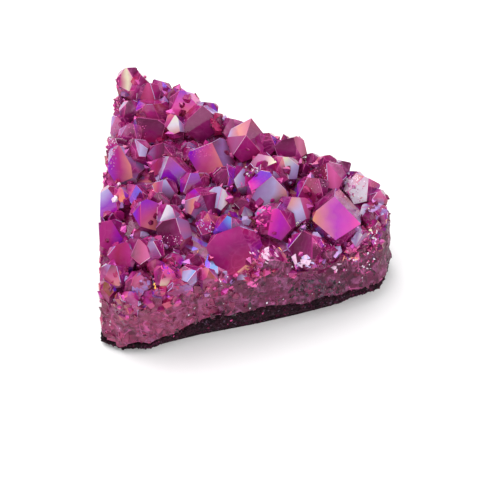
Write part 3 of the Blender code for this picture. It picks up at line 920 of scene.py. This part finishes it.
def facet_colour(tree, share):
    """The colour of a facet: its three colours, run across it."""
    first = ranged(tree, share, 0.0, 0.5, 0, 1)
    second = ranged(tree, share, 0.5, 1.0, 0, 1)
    a, b, c = (attribute(tree, n, "Color") for n in ("tint_a", "tint_b", "tint_c"))
    return mix_colour(tree, second, mix_colour(tree, first, a, b), c)


def crack_socket(tree):
    """Cracks through the whole object: 1 on them, 0 away from them."""
    place = tree.nodes.new("ShaderNodeTexCoord").outputs["Object"]
    bend = tree.nodes.new("ShaderNodeVectorMath")
    bend.operation = "MULTIPLY_ADD"
    drift = tree.nodes.new("ShaderNodeTexNoise")
    drift.inputs["Scale"].default_value = CRACK_CELLS / MM
    tree.links.new(place, drift.inputs["Vector"])
    tree.links.new(drift.outputs["Color"], bend.inputs[0])
    bend.inputs[1].default_value = [CRACK_BEND * MM / CRACK_CELLS] * 3
    tree.links.new(place, bend.inputs[2])
    cells = tree.nodes.new("ShaderNodeTexVoronoi")
    cells.feature = "DISTANCE_TO_EDGE"
    cells.inputs["Scale"].default_value = CRACK_CELLS / MM
    tree.links.new(bend.outputs["Vector"], cells.inputs["Vector"])
    return ranged(tree, cells.outputs["Distance"], 0, CRACK_WIDTH, 1, 0)


def layered(tree, colour, layer, *masks):
    """A colour with a layer over it, which each mask makes thinner."""
    share = layer_share(tree, layer)
    for mask in masks:
        share = math_node(tree, "MULTIPLY", share, mask)
    return mix_colour(tree, share, colour, (*linear(layer.tint), 1))


def quartz_finish(shader, specular, transmission):
    """What all quartz has on its shader, with how much it shines and lets through."""
    shader.inputs["IOR"].default_value = QUARTZ_IOR
    shader.inputs["Specular IOR Level"].default_value = specular
    shader.inputs["Transmission Weight"].default_value = transmission
    shader.inputs["Thin Film IOR"].default_value = FILM_IOR


def crystal_material():
    """Coated quartz: a gradient on each face, clouds and cracks inside, a thin film on top."""
    made, tree, shader = new_material("coated_quartz")
    quartz_finish(shader, specular=0.2, transmission=0.3)
    cloud = attribute(tree, "cloud", "Fac")
    share = facet_share(tree)
    waves = math_node(tree, "SINE", math_node(tree, "MULTIPLY", share, GROWTH_LINES * math.tau))
    lines = ranged(tree, waves, GROWTH_LINE_FROM, 1, 0, 1)
    colour = facet_colour(tree, share)
    colour = layered(tree, colour, DARK_CLOUD, cloud)
    colour = layered(tree, colour, PALE_VEIL, cloud)
    colour = layered(tree, colour, GROWTH_SHOWN, lines, cloud)
    colour = layered(tree, colour, CRACKS_SHOWN, crack_socket(tree), cloud)
    tree.links.new(colour, shader.inputs["Base Color"])
    rough = math_node(tree, "ADD", layer_share(tree, SCUFFS), attribute(tree, "rough", "Fac"))
    tree.links.new(rough, shader.inputs["Roughness"])
    drift = ranged(tree, noise_socket(tree, *FILM_NOISE), *FILM_NOISE_RANGE, *FILM_DRIFT)
    film = math_node(tree, "MULTIPLY", attribute(tree, "film", "Fac"), drift)
    tree.links.new(film, shader.inputs["Thin Film Thickness"])
    add_relief(tree, shader, QUARTZ_RELIEF)
    volume = tree.nodes.new("ShaderNodeVolumeAbsorption")
    volume.inputs["Color"].default_value = ABSORPTION_COLOUR
    volume.inputs["Density"].default_value = ABSORPTION_DENSITY
    tree.links.new(volume.outputs[0], tree.nodes["Material Output"].inputs["Volume"])
    return made


def grain_material(name, roughness, transmission, film):
    """The look of small crystals and chips, each with a tint of its own."""
    made, tree, shader = new_material(name)
    quartz_finish(shader, specular=0.3, transmission=transmission)
    colour = layered(tree, attribute(tree, "tint", "Color"), GRAIN_VEIL)
    tree.links.new(colour, shader.inputs["Base Color"])
    shader.inputs["Roughness"].default_value = roughness
    shader.inputs["Thin Film Thickness"].default_value = film
    return made


def stone_material(name, relief, roughness, specular):
    """A dull material with a relief of its own; its colour is still to be linked."""
    made, tree, shader = new_material(name)
    shader.inputs["Roughness"].default_value = roughness
    shader.inputs["Specular IOR Level"].default_value = specular
    add_relief(tree, shader, relief)
    return made, tree, shader


def rock_material():
    """Dark host rock, deepened with painted shade: speckled with lighter and darker grains."""
    made, tree, shader = stone_material("speckled_rock", ROCK_RELIEF, roughness=0.85, specular=0.1)
    colour = layered(tree, (*linear("rock_dark"), 1), ROCK_SPECKS)
    colour = layered(tree, colour, LIGHT_SPECKS)
    tree.links.new(colour, shader.inputs["Base Color"])
    return made


def gritty_material():
    """Grit of the rock, each grain with a tint of its own."""
    made, tree, shader = stone_material("rock_grit", GRIT_RELIEF, roughness=0.7, specular=0.15)
    tree.links.new(attribute(tree, "tint", "Color"), shader.inputs["Base Color"])
    return made


def make_quartz(rock_tree):
    """The crystals, the small ones between them, and the broken walls."""
    bm = facets_of("quartz_crust")
    tree = BVHTree.FromBMesh(bm)
    ridges = ridge_highlights(bm, paint_facets(bm, tree))
    crust = add("crystal_crust", mesh_from(bm, "crystal_crust"), "quartz_crust")
    crust.data.materials.append(crystal_material())
    coated = grain_material("small_crystal_quartz", roughness=0.1, transmission=0.2, film=SMALL_FILM)
    broken = grain_material("granular_quartz", roughness=0.25, transmission=0.1, film=0)
    small = small_crystals(crust, tree)
    chips = wall_chips(crust, tree, rock_tree)
    patches = rough_patches((crust.data, small, chips))
    for name, mesh, look in (("small_crystals", small, coated), ("ridge_highlights", ridges, broken),
                             ("wall_chips", chips, broken), ("rough_patches", patches, broken)):
        piece = add(name, mesh, "quartz_crust")
        piece.data.materials.append(look)


def make_rock():
    """The host rock, with a rough broken surface; returns a search tree over it."""
    bm = facets_of("matrix_rock")
    tree = BVHTree.FromBMesh(bm)
    rock = add("host_rock", mesh_from(bm, "host_rock"), "matrix_rock")
    rock.data.materials.append(rock_material())
    grains = add("rock_grains", rock_grains(rock), "matrix_rock")
    grains.data.materials.append(gritty_material())
    return tree


def make_floor():
    """A plain pale floor."""
    bm = bmesh.new()
    bmesh.ops.create_grid(bm, x_segments=1, y_segments=1, size=FLOOR_REACH)
    floor = bpy.data.objects.new("floor", mesh_from(bm, "floor"))
    bpy.context.scene.collection.objects.link(floor)
    made, _, shader = new_material("pale_floor")
    shader.inputs["Base Color"].default_value = FLOOR_COLOUR
    shader.inputs["Roughness"].default_value = FLOOR_ROUGHNESS
    floor.data.materials.append(made)


def add_softbox(box):
    """A soft rectangular light that looks at the piece."""
    data = bpy.data.lights.new(box.name, "AREA")
    data.shape = "RECTANGLE"
    data.size, data.size_y = box.size
    data.energy = box.glow * math.pi * box.size[0] * box.size[1]
    light = bpy.data.objects.new(box.name, data)
    light.location = box.place
    light.rotation_euler = (-Vector(box.place)).to_track_quat("-Z", "Y").to_euler()
    bpy.context.scene.collection.objects.link(light)


def make_light():
    """Plain soft studio light."""
    world = bpy.data.worlds.new("studio")
    world.use_nodes = True
    background = world.node_tree.nodes["Background"]
    background.inputs["Color"].default_value = SKY_COLOUR
    background.inputs["Strength"].default_value = SKY_GLOW
    bpy.context.scene.world = world
    for box in SOFTBOXES:
        add_softbox(box)


make_camera()
make_quartz(make_rock())
make_floor()
make_light()
bpy.context.scene.view_settings.view_transform = "Standard"
